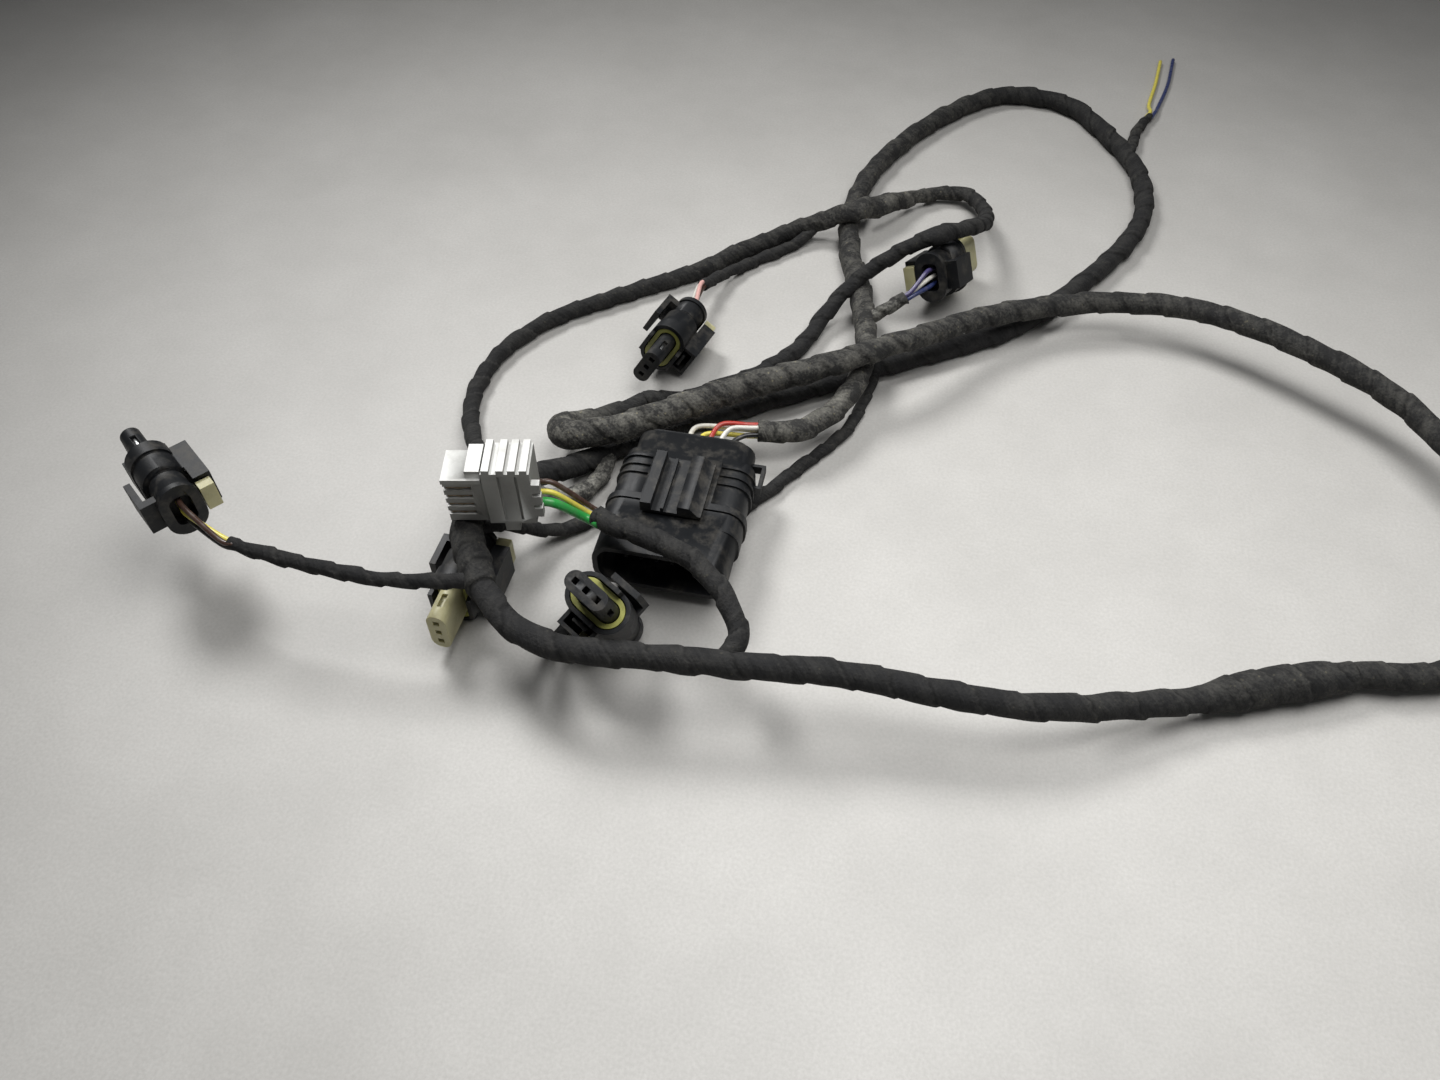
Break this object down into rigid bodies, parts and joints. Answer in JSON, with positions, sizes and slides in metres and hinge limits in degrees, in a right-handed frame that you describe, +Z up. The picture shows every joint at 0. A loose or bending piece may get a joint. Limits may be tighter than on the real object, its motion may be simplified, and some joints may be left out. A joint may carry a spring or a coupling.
{
  "type": "wiring harness",
  "caption": "Loose cloth-taped vehicle wiring harness with looped bundles, small sensor connectors, a wide flat connector and bare cut wires.",
  "frame": {"origin": "on the surface it lies on, under the middle of the whole harness", "axes": "+Z up from the surface, +X along the long outer loops away from the single outlying sensor connector, -Y towards the mouth of the wide flat connector"},
  "size_m": [0.4073, 0.4045, 0.0505],
  "materials": {
    "cloth_tape": "woven cloth tape, dull",
    "dirty_tape": "woven cloth tape, dusty",
    "moulded_black": "moulded, fine grain",
    "natural_nylon": "undyed nylon, slightly soiled",
    "silicone_seal": "smooth",
    "red_seal": "smooth",
    "pale_plastic": "satin",
    "wire_black": "thin insulation",
    "wire_white": "thin insulation",
    "wire_yellow": "thin insulation",
    "wire_red": "thin insulation",
    "wire_brown": "thin insulation",
    "wire_pink": "thin insulation",
    "wire_purple": "thin insulation",
    "wire_blue": "thin insulation",
    "wire_green": "thin insulation"
  },
  "bodies": {
    "root": {"trunk": "cloth_tape", "loop_trunk": "cloth_tape", "upper_branch": "cloth_tape", "sensor_a_branch": "cloth_tape", "sensor_b_branch": "cloth_tape", "sensor_c_branch": "cloth_tape", "sensor_d_branch": "dirty_tape", "sensor_e_branch": "cloth_tape", "lower_branch": "cloth_tape", "dirty_branch": "dirty_tape", "pale_branch": "cloth_tape", "cut_branch": "cloth_tape", "junction_wrap": "cloth_tape", "splice_wrap": "cloth_tape", "sensor_a_housing": "moulded_black", "sensor_a_seal": "silicone_seal", "sensor_a_insert": "moulded_black", "sensor_a_lock": "natural_nylon", "sensor_b_housing": "moulded_black", "sensor_b_seal": "silicone_seal", "sensor_b_insert": "moulded_black", "sensor_b_lock": "natural_nylon", "sensor_c_housing": "moulded_black", "sensor_c_seal": "silicone_seal", "sensor_c_insert": "moulded_black", "sensor_c_lock": "natural_nylon", "sensor_d_housing": "moulded_black", "sensor_d_seal": "silicone_seal", "sensor_d_insert": "natural_nylon", "sensor_d_lock": "natural_nylon", "sensor_e_housing": "moulded_black", "sensor_e_seal": "silicone_seal", "sensor_e_insert": "natural_nylon", "sensor_e_lock": "natural_nylon", "main_cover": "moulded_black", "main_housing": "moulded_black", "main_latch_frame": "moulded_black", "main_contact_block": "moulded_black", "main_face_seal": "red_seal", "pale_socket": "pale_plastic", "pale_plug": "pale_plastic", "sensor_a_wire_black": "wire_black", "sensor_a_wire_yellow": "wire_yellow", "sensor_a_wire_brown": "wire_brown", "sensor_b_wire_pink": "wire_pink", "sensor_b_wire_brown": "wire_brown", "sensor_b_wire_white": "wire_white", "sensor_d_wire_purple": "wire_purple", "sensor_d_wire_white": "wire_white", "sensor_d_wire_blue": "wire_blue", "main_wire_black": "wire_black", "main_wire_white": "wire_white", "main_wire_red": "wire_red", "main_wire_yellow": "wire_yellow", "main_wire_pale": "wire_white", "pale_wire_green": "wire_green", "pale_wire_yellow": "wire_yellow", "pale_wire_brown": "wire_brown", "cut_wire_yellow": "wire_yellow", "cut_wire_blue": "wire_blue"}
  },
  "joints": []
}
